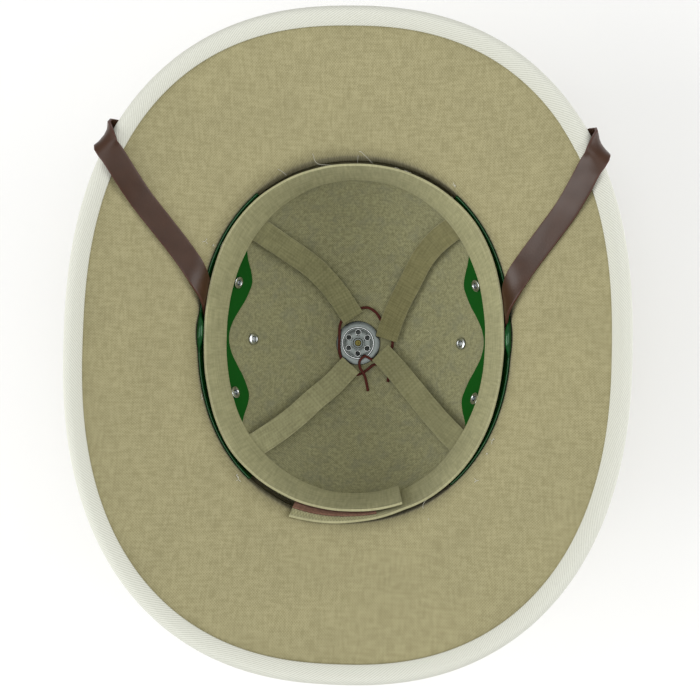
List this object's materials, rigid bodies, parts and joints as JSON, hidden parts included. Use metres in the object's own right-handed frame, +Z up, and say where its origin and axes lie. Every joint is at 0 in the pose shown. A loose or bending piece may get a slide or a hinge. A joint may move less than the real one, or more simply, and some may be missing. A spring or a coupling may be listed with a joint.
{
  "type": "pith helmet",
  "caption": "Pith helmet lying crown-down: moulded khaki shell with a wide bound brim, cloth headband and cradle straps, zinc ventilator, and a leather chin strap.",
  "frame": {"origin": "under the middle of the rim, on the surface that the ventilator cap rests on", "axes": "+Z up, out of the hollow; +Y towards the helmet's front, where the chin strap crosses; +X to the right of the open side seen from above"},
  "size_m": [0.2991, 0.3512, 0.1515],
  "materials": {
    "cover_cloth": "matte",
    "facing_cloth": "matte",
    "lining_cloth": "matte",
    "binding_tape": "matte",
    "band_cloth": "matte",
    "hook_and_loop": "matte",
    "green_coated": "satin",
    "zinc": "satin",
    "brass": "satin",
    "lace_cord": "matte",
    "leather": "satin"
  },
  "bodies": {
    "root": {"shell": "cover_cloth", "brim_facing": "facing_cloth", "crown_lining": "lining_cloth", "rim_binding": "binding_tape", "headband": "band_cloth", "headband_patch": "hook_and_loop", "green_strip_left": "green_coated", "green_strip_right": "green_coated", "green_eyelet_1": "zinc", "green_eyelet_2": "zinc", "green_eyelet_3": "zinc", "green_eyelet_4": "zinc", "vent_eyelet_left": "zinc", "vent_eyelet_right": "zinc", "cradle_strap_1": "band_cloth", "cradle_strap_2": "band_cloth", "cradle_strap_3": "band_cloth", "cradle_strap_4": "band_cloth", "lace": "lace_cord", "vent_collet": "zinc", "vent_plug": "zinc", "vent_rivet": "brass", "vent_cap": "zinc", "chin_strap": "leather"}
  },
  "joints": []
}
